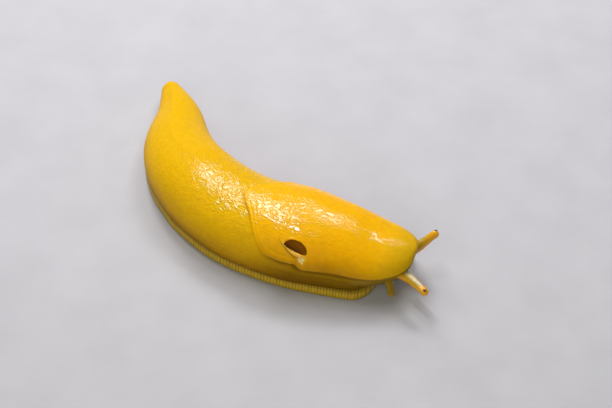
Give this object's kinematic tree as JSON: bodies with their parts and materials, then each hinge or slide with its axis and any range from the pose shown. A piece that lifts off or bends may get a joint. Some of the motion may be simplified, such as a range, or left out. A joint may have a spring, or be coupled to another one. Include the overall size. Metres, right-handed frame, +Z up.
{
  "type": "banana slug",
  "caption": "Life-size still model of a banana slug, creeping with its tail curled to its left, mantle raised and tentacles half out.",
  "frame": {"origin": "centre of the footprint of the whole model, on the floor under the sole", "axes": "+X ahead along the mantle to the head, +Y to the slug's left, where the tail curls, +Z up from the sole"},
  "size_m": [0.106, 0.065, 0.0194],
  "materials": {
    "body_skin": "wet, finely furrowed banana-yellow skin with amber shading low on the flanks",
    "mantle_skin": "wet, finely granular orange-yellow skin",
    "head_skin": "wet olive-yellow skin, darker underneath",
    "foot_skin": "wet olive grey-yellow fringe with fine upright grooves",
    "tentacle_skin": "wet, slightly translucent olive-grey skin with an orange tint below",
    "eye": "glossy black"
  },
  "bodies": {
    "root": {"tail": "body_skin", "torso_rear": "body_skin", "torso_front": "body_skin", "neck": "head_skin", "head": "head_skin", "mantle": "mantle_skin", "foot_rear": "foot_skin", "foot_middle": "foot_skin", "foot_front": "foot_skin", "eyestalk_right": "tentacle_skin", "eyestalk_left": "tentacle_skin", "feeler_right": "tentacle_skin", "feeler_left": "tentacle_skin", "eye_right": "eye", "eye_left": "eye"}
  },
  "joints": []
}
